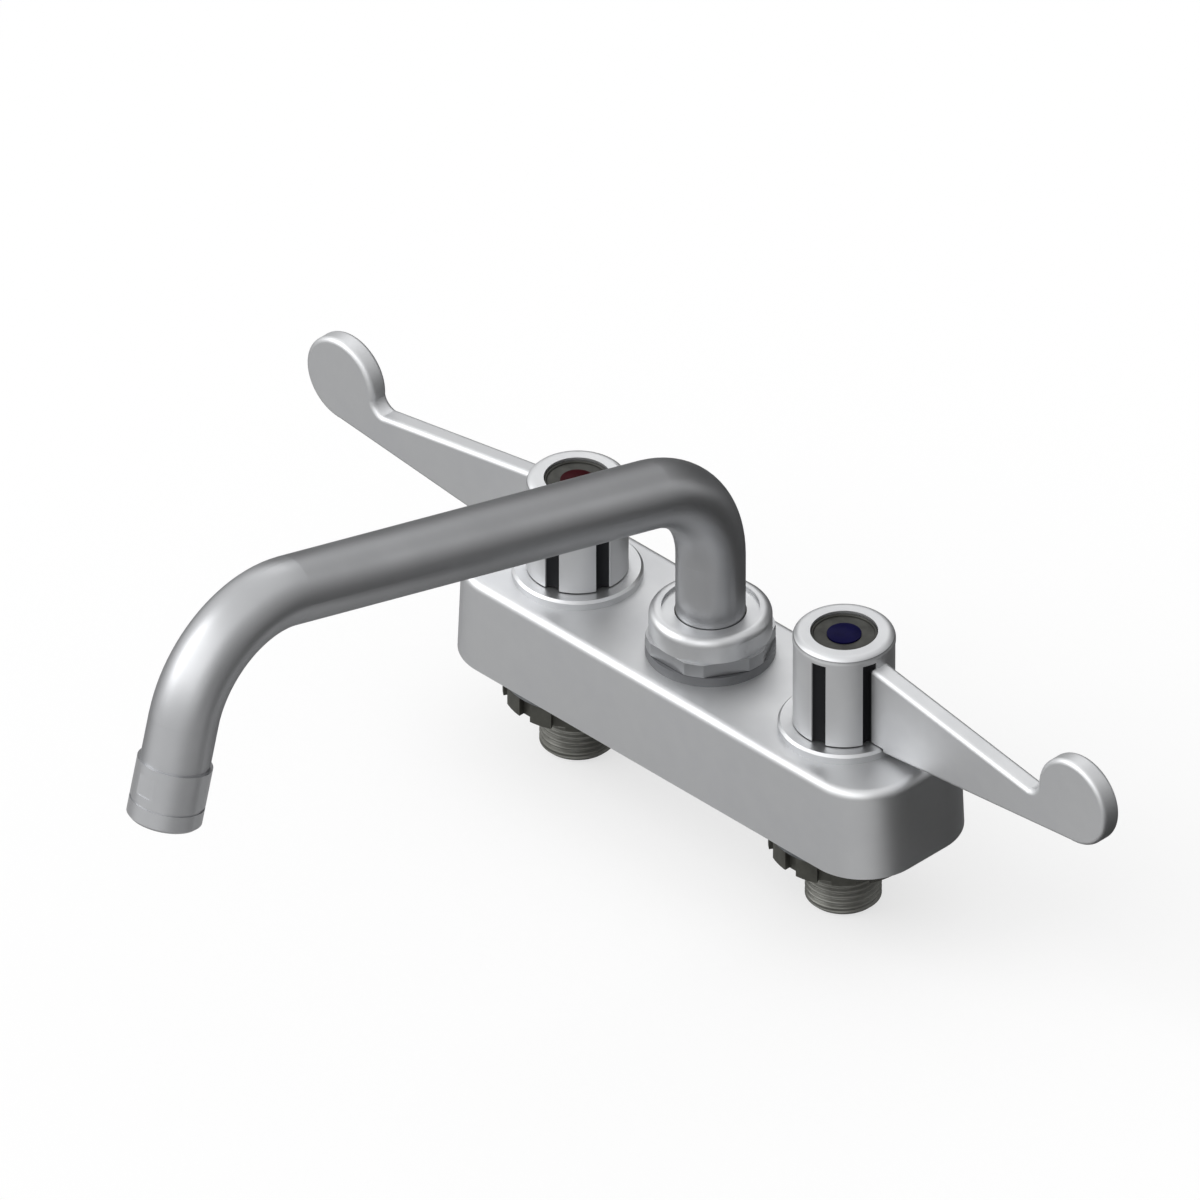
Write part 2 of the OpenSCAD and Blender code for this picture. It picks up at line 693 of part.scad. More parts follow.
module handle() color(chrome) difference() {
    union() {
        difference() {
            filleted_bar(hub_r, hub_low_z, handle_top_z, cap_edge_r);
            hub_flutes();
        }
        blade();
    }
    round_bar(bonnet_r + free_gap, body_h, hub_low_z);
    round_bar(flange_hollow_r, body_h, flange_hollow_z);
    round_bar(neck_hollow_r, flange_hollow_z - overrun, neck_hollow_z);
    round_bar(spline_bore_r, neck_hollow_z - overrun, web_low_z);
    round_bar(screw_r + free_gap, web_low_z - overrun, web_top_z + overrun);
    round_bar(screw_pocket_r, web_top_z, handle_top_z + overrun);
    round_bar(index_recess_r, recess_z, handle_top_z + overrun);
}

module stem() color(brass) difference() {
    union() {
        round_bar(moving_disc_r, stem_foot_z, stem_foot_z + stem_foot_h);
        round_bar(stem_r, stem_foot_z, neck_hollow_z);
        round_bar(spline_r - spline_depth, neck_hollow_z, stem_top_z);
        translate([0, 0, neck_hollow_z]) linear_extrude(spline_h) for (i = [0 : splines - 1])
            rotate([0, 0, i * 360 / splines]) polygon([
                [spline_r - 2 * spline_depth, -spline_depth], [spline_r, -spline_depth / 2],
                [spline_r, spline_depth / 2], [spline_r - 2 * spline_depth, spline_depth]]);
    }
    translate([0, 0, stem_ring_z - stem_ring_section_r])
        ring(stem_r + overrun, stem_groove_r, 2 * stem_ring_section_r);
    round_bar(screw_r + thread_gap, screw_hole_low_z, stem_top_z + overrun);
}

module stem_ring() color(black_rubber)
    translate([0, 0, stem_ring_z]) sealing_ring(stem_r, stem_ring_section_r);

module moving_disc() translate([0, 0, moving_disc_z]) ceramic_disc(moving_disc_r, 90);

module handle_screw() color(steel) difference() {
    union() {
        round_bar(screw_r, screw_low_z, web_top_z);
        round_bar(screw_head_r, web_top_z, web_top_z + screw_head_h);
    }
    translate([0, 0, web_top_z + screw_head_h - screw_socket_h])
        hexagon_bar(screw_socket_w, screw_socket_h + overrun);
}

module trim_ring() color(chrome) translate([0, 0, recess_z]) {
    ring(index_recess_r - thread_gap, button_r + thread_gap, trim_ring_h - trim_ridge_r);
    translate([0, 0, trim_ring_h - trim_ridge_r]) rotate_extrude()
        translate([index_recess_r - thread_gap - trim_ridge_r, 0]) circle(r = trim_ridge_r, $fn = small_fn);
}

module index_button(tint) color(tint) translate([0, 0, recess_z]) {
    crown_r = (pow(button_r, 2) + pow(button_crown_h, 2)) / (2 * button_crown_h);
    intersection() {
        cylinder(h = button_h, r = button_r);
        translate([0, 0, button_h - crown_r]) sphere(r = crown_r, $fn = 4 * $fn);
    }
}

module hot_handle() at_hot() handle();
module cold_handle() at_cold() handle();
module hot_stem() at_hot() stem();
module cold_stem() at_cold() stem();
module hot_stem_ring() at_hot() stem_ring();
module cold_stem_ring() at_cold() stem_ring();
module hot_moving_disc() at_hot() moving_disc();
module cold_moving_disc() at_cold() moving_disc();
module hot_handle_screw() at_hot() handle_screw();
module cold_handle_screw() at_cold() handle_screw();
module hot_trim_ring() at_hot() trim_ring();
module cold_trim_ring() at_cold() trim_ring();
module hot_index_button() at_hot() index_button(hot_red);
module cold_index_button() at_cold() index_button(cold_blue);

// Spout

module tube_section(proud) {
    difference() {
        circle(r = tube_r + proud);
        circle(r = tube_bore_r - proud);
    }
}

// A straight stretch reaches into the bends next to it. What follows it starts at its end.
module straight_tube(l, lap_before, lap_after) {
    translate([0, 0, -lap_before]) linear_extrude(l + lap_before + lap_after) tube_section(bend_thinning);
    translate([0, 0, l]) children();
}

// A bend turns from +Z towards -Y. What follows it starts at its end.
module bent_tube(bend_r, angle) translate([0, -bend_r, 0]) {
    rotate([90, 0, 90]) rotate_extrude(angle = angle) translate([bend_r, 0]) tube_section(0);
    rotate([angle, 0, 0]) translate([0, bend_r, 0]) children();
}

module spout_tube() color(chrome) translate([0, 0, collar_top_z])
    straight_tube(riser_top_z - collar_top_z, 0, bend_lap)
    bent_tube(first_bend_r, first_bend)
    straight_tube(run_l, bend_lap, bend_lap)
    bent_tube(second_bend_r, second_bend)
    straight_tube(outlet_tube_l, bend_lap, 0);

module spout_collar() color(brass) difference() {
    union() {
        round_bar(tube_r, spigot_z, collar_z);
        round_bar(spout_collar_r, collar_z, collar_top_z);
        round_bar(braze_r, collar_top_z, collar_top_z + braze_l);
    }
    round_bar(fitting_bore_r, spigot_z - overrun, collar_top_z + braze_l + overrun);
    for (z = spout_ring_zs) translate([0, 0, z - spout_ring_section_r])
        ring(tube_r + overrun, spout_groove_r, 2 * spout_ring_section_r);
}

module spout_sealing_rings() color(black_rubber)
    for (z = spout_ring_zs) translate([0, 0, z]) sealing_ring(tube_r, spout_ring_section_r);

module outlet_nipple() color(brass) at_tube_end() difference() {
    union() {
        round_bar(braze_r, -braze_l, 0);
        round_bar(nozzle_thread_r, 0, nozzle_thread_l);
    }
    round_bar(nipple_bore_r, -braze_l - overrun, nozzle_thread_l + overrun);
}

// Aerator

module aerator_housing() color(chrome) at_tube_end() difference() {
    union() {
        round_bar(aerator_r, 0, aerator_l - aerator_chamfer);
        translate([0, 0, aerator_l - aerator_chamfer])
            cylinder(h = aerator_chamfer, r1 = aerator_r, r2 = aerator_r - aerator_chamfer);
    }
    translate([0, 0, aerator_barrel_l - groove_w / 2])
        ring(aerator_r + overrun, aerator_r - aerator_groove, groove_w);
    for (m = [0, 1]) mirror([0, m, 0]) translate([0, aerator_flats_w / 2, aerator_barrel_l / 2])
        translate([-aerator_r, 0, -aerator_flats_l / 2]) cube([2 * aerator_r, aerator_r, aerator_flats_l]);
    round_bar(aerator_bore_r, -overrun, mouth_at);
    round_bar(aerator_mouth_r, mouth_at - overrun, aerator_l + overrun);
}

module aerator_washer() color(black_rubber) at_tube_end()
    translate([0, 0, aerator_washer_at]) ring(insert_r, fitting_bore_r, aerator_washer_h);

module aerator_insert() color(acetal) at_tube_end() translate([0, 0, insert_at]) difference() {
    cylinder(h = insert_h, r = insert_r);
    translate([0, 0, -overrun]) {
        cylinder(h = insert_h + 2 * overrun, r = insert_hole_r, $fn = small_fn);
        for (row = [1 : insert_rows], i = [0 : hex_sides * row - 1])
            rotate([0, 0, i * 360 / (hex_sides * row)]) translate([row * insert_row_pitch, 0, 0])
                cylinder(h = insert_h + 2 * overrun, r = insert_hole_r, $fn = small_fn);
    }
}

module aerator_screen() color(steel) at_tube_end() translate([0, 0, screen_at]) {
    bars = floor(aerator_mouth_r / screen_pitch);
    ring(insert_r, aerator_mouth_r, screen_h);
    intersection() {
        cylinder(h = screen_h, r = insert_r - screen_bar_w);
        for (turn = [0, 90], i = [-bars : bars]) rotate([0, 0, turn])
            translate([-insert_r, i * screen_pitch - screen_bar_w / 2, 0])
                cube([2 * insert_r, screen_bar_w, screen_h]);
    }
}

body();
hot_shank();
cold_shank();
hot_rubber_washer();
cold_rubber_washer();
hot_steel_washer();
cold_steel_washer();
hot_locknut();
cold_locknut();
hot_cartridge_shell();
cold_cartridge_shell();
hot_seat_seal();
cold_seat_seal();
hot_fixed_disc();
cold_fixed_disc();
hot_bonnet_ring();
cold_bonnet_ring();
spout_socket();
swivel_nut();
lower_swivel_washer();
upper_swivel_washer();
hot_handle();
cold_handle();
hot_stem();
cold_stem();
hot_moving_disc();
cold_moving_disc();
hot_stem_ring();
cold_stem_ring();
hot_handle_screw();
cold_handle_screw();
hot_trim_ring();
cold_trim_ring();
hot_index_button();
cold_index_button();
spout_tube();
spout_collar();
spout_sealing_rings();
outlet_nipple();
aerator_housing();
aerator_washer();
aerator_insert();
aerator_screen();
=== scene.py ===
import math
import bmesh
import bpy
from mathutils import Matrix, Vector


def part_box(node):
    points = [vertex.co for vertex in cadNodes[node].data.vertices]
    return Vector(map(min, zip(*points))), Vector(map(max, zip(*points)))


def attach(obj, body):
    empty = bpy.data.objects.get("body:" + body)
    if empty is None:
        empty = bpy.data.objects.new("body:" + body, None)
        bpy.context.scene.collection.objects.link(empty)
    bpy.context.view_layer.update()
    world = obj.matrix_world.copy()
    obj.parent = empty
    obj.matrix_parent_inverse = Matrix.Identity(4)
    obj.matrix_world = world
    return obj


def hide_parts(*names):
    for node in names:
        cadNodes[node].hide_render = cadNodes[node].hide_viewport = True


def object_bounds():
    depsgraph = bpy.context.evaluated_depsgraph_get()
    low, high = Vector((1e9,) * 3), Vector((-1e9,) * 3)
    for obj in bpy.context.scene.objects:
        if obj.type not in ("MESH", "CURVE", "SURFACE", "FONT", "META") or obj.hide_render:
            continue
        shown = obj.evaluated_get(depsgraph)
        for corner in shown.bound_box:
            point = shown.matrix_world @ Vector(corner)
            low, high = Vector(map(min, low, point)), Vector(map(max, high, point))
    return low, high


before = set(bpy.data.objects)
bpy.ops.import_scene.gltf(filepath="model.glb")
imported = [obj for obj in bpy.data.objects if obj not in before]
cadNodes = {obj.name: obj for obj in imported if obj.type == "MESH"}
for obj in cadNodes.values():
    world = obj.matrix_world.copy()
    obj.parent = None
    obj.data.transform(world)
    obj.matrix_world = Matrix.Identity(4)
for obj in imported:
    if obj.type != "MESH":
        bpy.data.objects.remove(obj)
cadLow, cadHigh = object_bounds()
mm = 0.001
print("Frame loaded:", len(cadNodes), "pieces")


def linearColour(hexColour):
    parts = [int(hexColour[i:i + 2], 16) / 255 for i in (1, 3, 5)]
    return [p / 12.92 if p <= 0.04045 else ((p + 0.055) / 1.055) ** 2.4 for p in parts] + [1]


# A setting is a property of the node, or else a socket by its name or number. In a Mix node the
# sockets 2 and 3 are its two numbers, and 6 and 7 its two colours. A link comes from a socket,
# or from a node's first output.
def addNode(tree, kind, settings=None, links=None):
    node = tree.nodes.new(kind)
    for key, value in (settings or {}).items():
        if isinstance(key, str) and key in node.bl_rna.properties:
            setattr(node, key, value)
        else:
            node.inputs[key].default_value = value
    for key, source in (links or {}).items():
        if isinstance(source, bpy.types.Node):
            source = source.outputs[0]
        tree.links.new(source, node.inputs[key])
    return node


def newMaterial(name):
    material = bpy.data.materials.new(name)
    material.use_nodes = True
    material.node_tree.nodes.clear()
    return material, material.node_tree


# Most of a noise lies between these two values, so this part of it is spread over the whole range
noiseSpan = {"From Min": 0.3, "From Max": 0.7}
noiseRoughness = 0.55

# Satin chrome on a buffed brass casting: even greys with soft wide highlights, a faint waviness
# left by the mould and a haze where the buffing wheel turned.
satinChromeLook = {
    "bright": "#D4D5D6", "dull": "#CCCDCF", "rough": (0.46, 0.52),
    "edge": "#D8D8D8",     # chrome reflects a little less just short of a grazing look
    "hazeSize": 22 * mm, "waveSize": 14 * mm, "waveDepth": 0.03 * mm, "waveStrength": 0.35,
}
# The bent tube is drawn smooth, so its waves are long; its plate is painted darker than the body's, as
# painted shade.
tubeShadedChromeLook = dict(satinChromeLook, bright="#B8B9BB", dull="#B0B1B3", edge="#B8B8B8",
                      rough=(0.37, 0.42), waveSize=40 * mm)
# Painted shade in the hub's flutes: a dark colour and a higher roughness laid into the grooves, where
# shade falls.
fluteShadeLook = {
    "colour": "#303133", "rough": 0.62, "capHeight": 2.9 * mm,
    "startsAt": 0.06 * mm, "fullAt": 0.4 * mm,     # depths below the hub's round surface
}


# How much painted shade lies at a place: 0 on the hub's surface and on its cap, 1 in the flutes
def paintedFluteShade(tree, place, values, handleName, axis):
    low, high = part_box(handleName)
    hubRadius, capLow = (high.y - low.y) / 2, high.z - values["capHeight"]
    flat = addNode(tree, "ShaderNodeVectorMath", {"operation": "MULTIPLY", 1: (1, 1, 0)}, {0: place})
    radius = addNode(tree, "ShaderNodeVectorMath", {
        "operation": "DISTANCE", 1: (axis.x, axis.y, 0)}, {0: flat}).outputs["Value"]
    height = addNode(tree, "ShaderNodeSeparateXYZ", links={0: place}).outputs["Z"]
    inside = addNode(tree, "ShaderNodeMapRange", {
        "From Min": hubRadius - values["startsAt"], "From Max": hubRadius - values["fullAt"]},
        {"Value": radius})
    below = addNode(tree, "ShaderNodeMapRange", {
        "From Min": capLow + values["startsAt"], "From Max": capLow - values["startsAt"]},
        {"Value": height})
    return addNode(tree, "ShaderNodeMath", {"operation": "MULTIPLY"}, {0: inside, 1: below})


def satinChrome(name, look, handleName=None, axis=None):
    material, tree = newMaterial(name)
    place = addNode(tree, "ShaderNodeTexCoord").outputs["Object"]
    haze = addNode(tree, "ShaderNodeTexNoise", {
        "Scale": 1 / look["hazeSize"], "Detail": 3, "Roughness": noiseRoughness}, {"Vector": place})
    waves = addNode(tree, "ShaderNodeTexNoise", {
        "Scale": 1 / look["waveSize"], "Detail": 1, "Roughness": noiseRoughness}, {"Vector": place})
    relief = addNode(tree, "ShaderNodeBump", {
        "Strength": look["waveStrength"], "Distance": look["waveDepth"]}, {"Height": waves})
    dulled = addNode(tree, "ShaderNodeMapRange", noiseSpan, {"Value": haze})
    colour = addNode(tree, "ShaderNodeMix", {
        "data_type": "RGBA", 6: linearColour(look["bright"]), 7: linearColour(look["dull"])},
        {0: dulled}).outputs[2]
    rough = addNode(tree, "ShaderNodeMapRange", {
        **noiseSpan, "To Min": look["rough"][0], "To Max": look["rough"][1]}, {"Value": haze})
    # A handle's hub gets painted shade, a dark colour, in its flutes
    if handleName:
        fluteShadeShare = paintedFluteShade(tree, place, fluteShadeLook, handleName, axis)
        colour = addNode(tree, "ShaderNodeMix", {
            "data_type": "RGBA", 7: linearColour(fluteShadeLook["colour"])},
            {0: fluteShadeShare, 6: colour}).outputs[2]
        rough = addNode(tree, "ShaderNodeMix", {3: fluteShadeLook["rough"]}, {0: fluteShadeShare, 2: rough})
    shader = addNode(tree, "ShaderNodeBsdfPrincipled", {
        "Metallic": 1, "Specular Tint": linearColour(look["edge"])},
        {"Base Color": colour, "Roughness": rough, "Normal": relief})
    addNode(tree, "ShaderNodeOutputMaterial", links={"Surface": shader})
    return material


# Chrome on a turned part: the same plate over fine rings that the lathe tool left.
turnedChromeLook = {
    "bright": "#CDCECF", "dull": "#C3C4C6", "rough": (0.38, 0.44), "hazeSize": 14 * mm,
    "ringPitch": 1.2 * mm,     # real feed is near 0.1 mm, drawn coarser so that it shows
    "ringDepth": 0.003 * mm, "ringStrength": 0.2,
}
# The nut is turned too, and on its six flats, below the collar, a darker grey is painted as shade.
nutChromeLook = dict(turnedChromeLook, flatsShade="#97989A", flatsHeight=4 * mm, blurred=0.05 * mm)
# The socket's flange under the nut is drawn much darker and rougher than the other turned chrome.
socketChromeLook = dict(turnedChromeLook, bright="#7E7F81", dull="#727375", rough=(0.46, 0.52))
# The aerator housing has the tube's darker colour, the same painted shade.
outletShadedChromeLook = dict(turnedChromeLook, bright="#B8B9BB", dull="#B0B1B3", rough=(0.34, 0.4))


# The rings lie round the piece's own axis, which passes through centre and leans by tilt degrees
def turnedChrome(name, look, centre, tilt=0, flatsTop=None):
    material, tree = newMaterial(name)
    place = addNode(tree, "ShaderNodeTexCoord").outputs["Object"]
    place = addNode(tree, "ShaderNodeMapping", {
        "vector_type": "TEXTURE", "Location": centre, "Rotation": (math.radians(tilt), 0, 0)},
        {"Vector": place})
    rings = addNode(tree, "ShaderNodeTexWave", {
        "wave_type": "RINGS", "rings_direction": "Z",
        "Scale": math.pi / (10 * look["ringPitch"])},     # at scale 1 the rings are pi / 10 m apart
        {"Vector": place}).outputs["Fac"]
    relief = addNode(tree, "ShaderNodeBump", {
        "Strength": look["ringStrength"], "Distance": look["ringDepth"]}, {"Height": rings})
    haze = addNode(tree, "ShaderNodeTexNoise", {
        "Scale": 1 / look["hazeSize"], "Detail": 3, "Roughness": noiseRoughness}, {"Vector": place})
    dulled = addNode(tree, "ShaderNodeMapRange", noiseSpan, {"Value": haze})
    colour = addNode(tree, "ShaderNodeMix", {
        "data_type": "RGBA", 6: linearColour(look["bright"]), 7: linearColour(look["dull"])},
        {0: dulled}).outputs[2]
    rough = addNode(tree, "ShaderNodeMapRange", {
        **noiseSpan, "To Min": look["rough"][0], "To Max": look["rough"][1]}, {"Value": haze})
    # Below the top of the nut's flats the colour turns to painted shade
    if flatsTop:
        height = addNode(tree, "ShaderNodeSeparateXYZ", links={0: place}).outputs["Z"]
        below = addNode(tree, "ShaderNodeMapRange", {
            "From Min": flatsTop + look["blurred"], "From Max": flatsTop - look["blurred"]},
            {"Value": height})
        colour = addNode(tree, "ShaderNodeMix", {
            "data_type": "RGBA", 7: linearColour(look["flatsShade"])}, {0: below, 6: colour}).outputs[2]
    shader = addNode(tree, "ShaderNodeBsdfPrincipled", {"Metallic": 1}, {
        "Base Color": colour, "Roughness": rough, "Normal": relief})
    addNode(tree, "ShaderNodeOutputMaterial", links={"Surface": shader})
    return material


# Bare brass under the deck: a grey-brown skin of tarnish that hides half of the metal's shine.
rawBrassLook = {
    "colour": "#83837E", "patches": "#686863", "rough": (0.38, 0.55), "shader": {"Metallic": 0.6},
    "patchSize": 7 * mm, "patchDetail": 5,
    "grainSize": 0.5 * mm, "grainDepth": 0.015 * mm, "grainStrength": 0.5,
}
# The locknuts are drawn darker.
locknutBrassLook = dict(rawBrassLook, colour="#5C5C56", patches="#464641")
# The trim rings round the buttons: turned brass left bare, gone the same grey-brown but darker.
trimBrassLook = dict(rawBrassLook, colour="#3E3E3A", patches="#31312E", rough=(0.36, 0.5),
                     patchSize=4 * mm, grainDepth=0.01 * mm)
# Turned brass inside the valves: clean and yellow, with a thin dull film.
cleanBrassLook = dict(rawBrassLook, colour="#B79A5A", patches="#8F7A4A", rough=(0.22, 0.36),
                      shader={"Metallic": 1}, patchSize=6 * mm,
                      grainSize=0.3 * mm, grainDepth=0.008 * mm)
# Zinc plated steel: bluish grey with small dull patches.
zincSteelLook = dict(rawBrassLook, colour="#9A9DA0", patches="#73767A", rough=(0.3, 0.45),
                     shader={"Metallic": 1}, patchSize=3 * mm,
                     grainSize=0.4 * mm, grainDepth=0.01 * mm)
# Moulded rubber of the seals and washers: black, matt, with a bloom of grey.
rubberLook = {
    "colour": "#1E1E20", "patches": "#2E2E31", "rough": (0.62, 0.8), "shader": {"IOR": 1.52},
    "patchSize": 5 * mm, "patchDetail": 4,
    "grainSize": 0.35 * mm, "grainDepth": 0.03 * mm, "grainStrength": 0.4,
}
# Nylon washers in the swivel: milky white, half matt.
nylonLook = dict(rubberLook, colour="#D8D6CC", patches="#C9C7BC", rough=(0.4, 0.55),
                 shader={"IOR": 1.53}, patchSize=4 * mm, grainSize=0.3 * mm, grainDepth=0.01 * mm)
# Moulded acetal of the flow insert: dark grey and a little waxy.
acetalLook = dict(rubberLook, colour="#3A3C40", patches="#45474B", rough=(0.3, 0.42),
                  shader={"IOR": 1.48}, patchSize=4 * mm, grainSize=0.3 * mm, grainDepth=0.008 * mm)
# Lapped ceramic of the valve discs: off-white and smooth, almost a mirror.
ceramicLook = dict(rubberLook, colour="#ECEAE4", patches="#DEDBD3", rough=(0.12, 0.22),
                   shader={"IOR": 1.76}, patchSize=2 * mm, grainSize=0.15 * mm, grainDepth=0.003 * mm)
# Moulded acrylic of the index buttons: deep colour, with little shine because they lie recessed.
hotButtonLook = dict(rubberLook, colour="#34020A", patches="#2B0208", rough=(0.3, 0.38),
                     shader={"IOR": 1.49, "Specular IOR Level": 0.04},
                     patchSize=3 * mm, grainSize=0.5 * mm, grainDepth=0.006 * mm)
coldButtonLook = dict(hotButtonLook, colour="#060338", patches="#04022E")


# Worn or cloudy patches over a fine grain: bare metals, plastics, rubber and ceramic
def patchyFinish(name, look):
    material, tree = newMaterial(name)
    place = addNode(tree, "ShaderNodeTexCoord").outputs["Object"]
    patches = addNode(tree, "ShaderNodeTexNoise", {
        "Scale": 1 / look["patchSize"], "Detail": look["patchDetail"], "Roughness": noiseRoughness},
        {"Vector": place})
    grain = addNode(tree, "ShaderNodeTexNoise", {
        "Scale": 1 / look["grainSize"], "Detail": 2, "Roughness": noiseRoughness}, {"Vector": place})
    relief = addNode(tree, "ShaderNodeBump", {
        "Strength": look["grainStrength"], "Distance": look["grainDepth"]}, {"Height": grain})
    share = addNode(tree, "ShaderNodeMapRange", noiseSpan, {"Value": patches})
    colour = addNode(tree, "ShaderNodeMix", {
        "data_type": "RGBA", 6: linearColour(look["colour"]), 7: linearColour(look["patches"])},
        {0: share}).outputs[2]
    rough = addNode(tree, "ShaderNodeMapRange", {
        **noiseSpan, "To Min": look["rough"][0], "To Max": look["rough"][1]}, {"Value": patches})
    shader = addNode(tree, "ShaderNodeBsdfPrincipled", look["shader"], {
        "Base Color": colour, "Roughness": rough, "Normal": relief})
    addNode(tree, "ShaderNodeOutputMaterial", links={"Surface": shader})
    return material


# Where the turned parts' axes stand, read from the pieces themselves
def nodeCentre(nodeName):
    low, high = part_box(nodeName)
    return (low + high) / 2


hotAxis = nodeCentre("hot_bonnet_ring")
coldAxis = nodeCentre("cold_bonnet_ring")
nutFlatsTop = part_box("swivel_nut")[0].z + nutChromeLook["flatsHeight"]
outletTilt = -15       # lean of the outlet from plumb, degrees

finishes = {
    "castChrome": satinChrome("satinChromeCasting", satinChromeLook),
    "tubeChrome": satinChrome("satinChromeTubeShaded", tubeShadedChromeLook),
    "hotHandle": satinChrome("satinChromeHotHandle", satinChromeLook, "hot_handle", hotAxis),
    "coldHandle": satinChrome("satinChromeColdHandle", satinChromeLook, "cold_handle", coldAxis),
    "hotTurned": turnedChrome("turnedChromeHotSide", turnedChromeLook, (hotAxis.x, 0, 0)),
    "coldTurned": turnedChrome("turnedChromeColdSide", turnedChromeLook, (coldAxis.x, 0, 0)),
    "nutChrome": turnedChrome("turnedChromeNut", nutChromeLook, (0, 0, 0), flatsTop=nutFlatsTop),
    "socketChrome": turnedChrome("turnedChromeSocket", socketChromeLook, (0, 0, 0)),
    "outletTurned": turnedChrome("turnedChromeOutletShaded", outletShadedChromeLook,
                                 nodeCentre("aerator_housing"), outletTilt),
    "rawBrass": patchyFinish("tarnishedBrass", rawBrassLook),
    "locknutBrass": patchyFinish("darkTarnishedBrass", locknutBrassLook),
    "trimBrass": patchyFinish("darkTurnedBrass", trimBrassLook),
    "cleanBrass": patchyFinish("turnedBrass", cleanBrassLook),
    "zincSteel": patchyFinish("zincPlatedSteel", zincSteelLook),
    "rubber": patchyFinish("blackRubber", rubberLook),
    "nylon": patchyFinish("whiteNylon", nylonLook),
    "acetal": patchyFinish("greyAcetal", acetalLook),
    "ceramic": patchyFinish("lappedCeramic", ceramicLook),
    "hotButton": patchyFinish("darkRedAcrylic", hotButtonLook),
    "coldButton": patchyFinish("darkBlueAcrylic", coldButtonLook),
}
finishOf = {
    "body": "castChrome", "spout_socket": "socketChrome", "swivel_nut": "nutChrome",
    "lower_swivel_washer": "nylon", "upper_swivel_washer": "nylon",
    "spout_tube": "tubeChrome", "spout_collar": "cleanBrass", "spout_sealing_rings": "rubber",
    "outlet_nipple": "cleanBrass", "aerator_housing": "outletTurned", "aerator_washer": "rubber",
    "aerator_insert": "acetal", "aerator_screen": "zincSteel",
    "hot_bonnet_ring": "hotTurned", "cold_bonnet_ring": "coldTurned",
    "hot_handle": "hotHandle", "cold_handle": "coldHandle",
    "hot_index_button": "hotButton", "cold_index_button": "coldButton",
}
pairFinish = {
    "shank": "rawBrass", "locknut": "locknutBrass", "steel_washer": "zincSteel",
    "rubber_washer": "rubber", "cartridge_shell": "cleanBrass", "seat_seal": "rubber",
    "fixed_disc": "ceramic", "moving_disc": "ceramic", "stem": "cleanBrass", "stem_ring": "rubber",
    "handle_screw": "zincSteel", "trim_ring": "trimBrass",
}
for side in ("hot_", "cold_"):
    for part, finish in pairFinish.items():
        finishOf[side + part] = finish
for nodeName, finish in finishOf.items():
    slots = cadNodes[nodeName].data.materials
    slots.clear()
    slots.append(finishes[finish])
print("Finishes:", len(finishes), "materials on", len(finishOf), "pieces")


# A geometry tree with its named inputs, listed by kind
def newTree(name, inputs):
    tree = bpy.data.node_groups.new(name, "GeometryNodeTree")
    tree.is_modifier = True
    tree.interface.new_socket("Geometry", in_out="INPUT", socket_type="NodeSocketGeometry")
    for kind, socketNames in inputs.items():
        for socketName in socketNames:
            tree.interface.new_socket(socketName, in_out="INPUT", socket_type="NodeSocket" + kind)
    tree.interface.new_socket("Geometry", in_out="OUTPUT", socket_type="NodeSocketGeometry")
    return tree, addNode(tree, "NodeGroupInput").outputs


def endTree(tree, geometry, finish):
    real = addNode(tree, "GeometryNodeRealizeInstances", links={0: geometry})
    dressed = addNode(tree, "GeometryNodeSetMaterial", links={"Geometry": real, "Material": finish})
    addNode(tree, "NodeGroupOutput", links={0: dressed})


# Runs a tree on a blank and turns the result into a plain mesh
def runTree(blank, tree, values, name):
    bpy.context.scene.collection.objects.link(blank)
    modifier = blank.modifiers.new("geometry", "NODES")
    modifier.node_group = tree
    for item in tree.interface.items_tree:
        if item.in_out == "INPUT" and item.name in values:
            modifier[item.identifier] = values[item.name]
    blank.update_tag()
    evaluated = blank.evaluated_get(bpy.context.evaluated_depsgraph_get())
    data = bpy.data.meshes.new_from_object(evaluated)
    data.name = name
    bpy.data.objects.remove(blank)
    piece = bpy.data.objects.new(name, data)
    bpy.context.scene.collection.objects.link(piece)
    data.shade_smooth()
    return piece


# Inlet shanks with their pipe thread, cut in geometry nodes into a plain tube

shankThread = {
    "pitch": 1.814 * mm,      # 14 threads to the inch
    "depth": 1.05 * mm,
    "runOut": 1.6 * mm,       # length over which the thread dies away at the free end
    "crestShare": 0.18,       # flat crest, as a share of the pitch
    "wallShare": 0.995,       # only what lies further out than this share of the radius is cut
    "sides": 80, "rowsPerPitch": 10, "chamfer": 1 * mm, "boreRadius": 6.35 * mm,
}


def plainShank(values, radius, lowZ, highZ):
    rows = int((highZ - lowZ - values["chamfer"]) / values["pitch"] * values["rowsPerPitch"])
    step = (highZ - lowZ - values["chamfer"]) / rows
    outline = [(radius - values["chamfer"], lowZ)]
    outline += [(radius, lowZ + values["chamfer"] + i * step) for i in range(rows + 1)]
    outline += [(values["boreRadius"], highZ), (values["boreRadius"], lowZ)]
    mesh = bmesh.new()
    rings = []
    for i in range(values["sides"]):
        turn = 2 * math.pi * i / values["sides"]
        rings.append([mesh.verts.new((r * math.cos(turn), r * math.sin(turn), z)) for r, z in outline])
    for i, ring in enumerate(rings):
        following = rings[(i + 1) % len(rings)]
        for j in range(len(outline)):
            k = (j + 1) % len(outline)
            mesh.faces.new((ring[j], following[j], following[k], ring[k]))
    bmesh.ops.recalc_face_normals(mesh, faces=mesh.faces)
    data = bpy.data.meshes.new("shankBlank")
    mesh.to_mesh(data)
    mesh.free()
    return bpy.data.objects.new("shankBlank", data)


